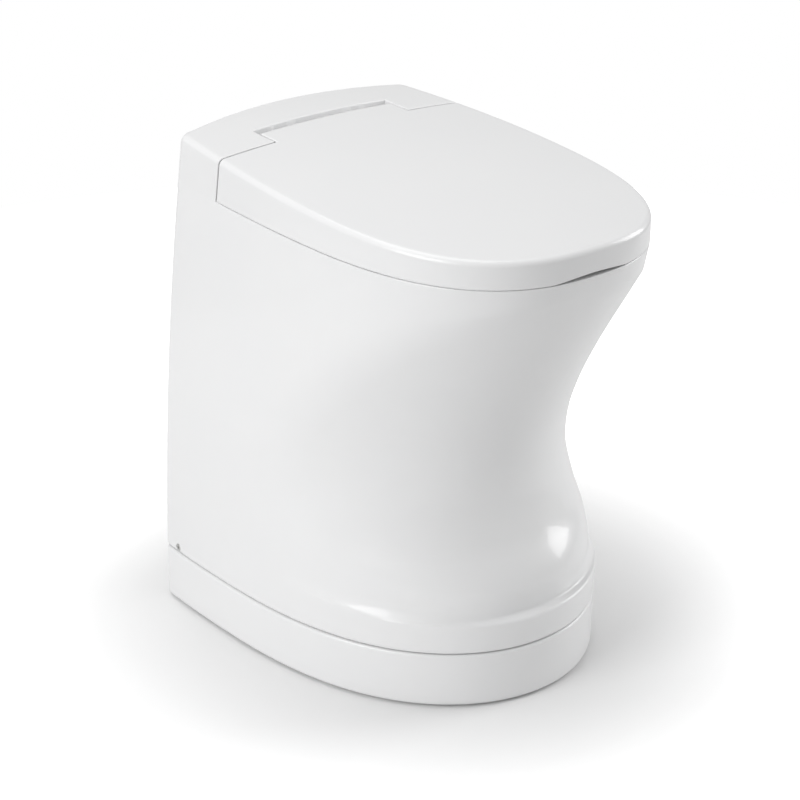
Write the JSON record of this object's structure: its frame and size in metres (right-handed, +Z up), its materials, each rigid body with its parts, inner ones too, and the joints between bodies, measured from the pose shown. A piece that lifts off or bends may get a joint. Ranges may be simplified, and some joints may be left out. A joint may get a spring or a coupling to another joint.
{
  "type": "incinerating toilet",
  "caption": "Floor-standing incinerating toilet with a waisted casing, hinged seat and lid, a two-flap bowl outlet, a heated chamber, a lift-out ash pan and a fan-driven rear flue.",
  "frame": {"origin": "on the floor under the centre of the outer box, midway between the front of the lid and the end of the flue spigot", "axes": "+Z up, -Y towards the person using it, +Y towards the wall and the flue"},
  "size_m": [0.39, 0.58, 0.549],
  "materials": {
    "gloss_white_plastic": "gloss",
    "stainless_steel": "satin",
    "heat_tinted_steel": "satin",
    "brass": "satin",
    "grey_rubber": "matte",
    "dark_plastic": "matte",
    "mineral_wool": "matte",
    "ceramic": "matte",
    "green_lens": "gloss",
    "circuit_board": "matte",
    "blackened_steel": "matte"
  },
  "bodies": {
    "casing": {"base_tray": "gloss_white_plastic", "bowl": "stainless_steel", "button_bezel": "gloss_white_plastic", "casing": "gloss_white_plastic", "casing_screw_left": "stainless_steel", "casing_screw_right": "stainless_steel", "catalyst": "ceramic", "catalyst_housing": "stainless_steel", "chamber": "heat_tinted_steel", "chamber_stand": "stainless_steel", "control_board": "circuit_board", "control_box": "dark_plastic", "drive_plate": "stainless_steel", "fan_bracket": "stainless_steel", "fan_housing": "stainless_steel", "fan_motor": "blackened_steel", "flap_motor": "dark_plastic", "flue_spigot": "stainless_steel", "foot_front_left": "grey_rubber", "foot_front_right": "grey_rubber", "foot_rear_left": "grey_rubber", "foot_rear_right": "grey_rubber", "heater_bush_left": "ceramic", "heater_bush_right": "ceramic", "heating_element": "blackened_steel", "hinge_pin_left": "stainless_steel", "hinge_pin_right": "stainless_steel", "idler_pin": "stainless_steel", "indicator_lens": "green_lens", "insulation_jacket": "mineral_wool", "power_inlet": "dark_plastic", "rear_panel": "gloss_white_plastic", "rear_panel_screw_high_left": "stainless_steel", "rear_panel_screw_high_right": "stainless_steel", "rear_panel_screw_low_left": "stainless_steel", "rear_panel_screw_low_right": "stainless_steel", "temperature_sensor": "stainless_steel", "throat_plate": "heat_tinted_steel", "throat_seal": "grey_rubber"},
    "seat": {"seat": "gloss_white_plastic", "seat_buffer_front_left": "grey_rubber", "seat_buffer_front_right": "grey_rubber", "seat_buffer_rear_left": "grey_rubber", "seat_buffer_rear_right": "grey_rubber"},
    "lid": {"lid": "gloss_white_plastic", "lid_buffer_left": "grey_rubber", "lid_buffer_right": "grey_rubber"},
    "flap_left": {"flap_left": "stainless_steel", "flap_shaft_left": "stainless_steel", "flap_gear_left": "brass"},
    "drive_gear": {"drive_gear": "brass"},
    "idler_gear": {"idler_gear": "brass"},
    "flap_right": {"flap_right": "stainless_steel", "flap_shaft_right": "stainless_steel", "flap_gear_right": "brass"},
    "fan_impeller": {"fan_impeller": "stainless_steel"},
    "start_button": {"start_button": "dark_plastic"},
    "ash_pan": {"ash_pan": "stainless_steel"},
    "ash_pan_handle": {"ash_pan_handle": "stainless_steel"}
  },
  "joints": [
    {"name": "seat_hinge", "type": "hinge", "parent": "casing", "child": "seat", "pos_m": [0, 0.136, 0.532], "axis": [1, 0, 0], "range_deg": [-95, 0]},
    {"name": "lid_hinge", "type": "hinge", "parent": "seat", "child": "lid", "pos_m": [0, 0.136, 0.532], "axis": [-1, 0, 0], "range_deg": [0, 95]},
    {"name": "flap_left_hinge", "type": "hinge", "parent": "casing", "child": "flap_left", "pos_m": [-0.081, -0.03, 0.32], "axis": [0, 1, 0], "range_deg": [0, 85]},
    {"name": "drive_gear_spin", "type": "hinge", "parent": "casing", "child": "drive_gear", "pos_m": [-0.027, 0.079, 0.32], "axis": [0, 1, 0], "range_deg": [-85, 0]},
    {"name": "idler_gear_spin", "type": "hinge", "parent": "casing", "child": "idler_gear", "pos_m": [0.027, 0.079, 0.32], "axis": [0, 1, 0], "range_deg": [0, 85]},
    {"name": "flap_right_hinge", "type": "hinge", "parent": "casing", "child": "flap_right", "pos_m": [0.081, -0.03, 0.32], "axis": [0, 1, 0], "range_deg": [-85, 0]},
    {"name": "fan_spin", "type": "hinge", "parent": "casing", "child": "fan_impeller", "pos_m": [0, 0.107, 0.225], "axis": [0, 1, 0], "continuous": true},
    {"name": "start_button_press", "type": "slide", "parent": "casing", "child": "start_button", "axis": [0, 0, -1], "range_m": [0, 0.0025], "stiffness_N_per_m": 400, "springref_m": -0.001},
    {"name": "ash_pan_lift", "type": "slide", "parent": "casing", "child": "ash_pan", "axis": [0, 0, 1], "range_m": [0, 0.1]},
    {"name": "ash_pan_handle_swing", "type": "hinge", "parent": "ash_pan", "child": "ash_pan_handle", "pos_m": [0, -0.03, 0.1513], "axis": [1, 0, 0], "range_deg": [0, 90]}
  ],
  "couplings": [
    {"joint": "drive_gear_spin", "follows": "flap_left_hinge", "ratio": -1},
    {"joint": "idler_gear_spin", "follows": "flap_left_hinge", "ratio": 1},
    {"joint": "flap_right_hinge", "follows": "flap_left_hinge", "ratio": -1}
  ]
}
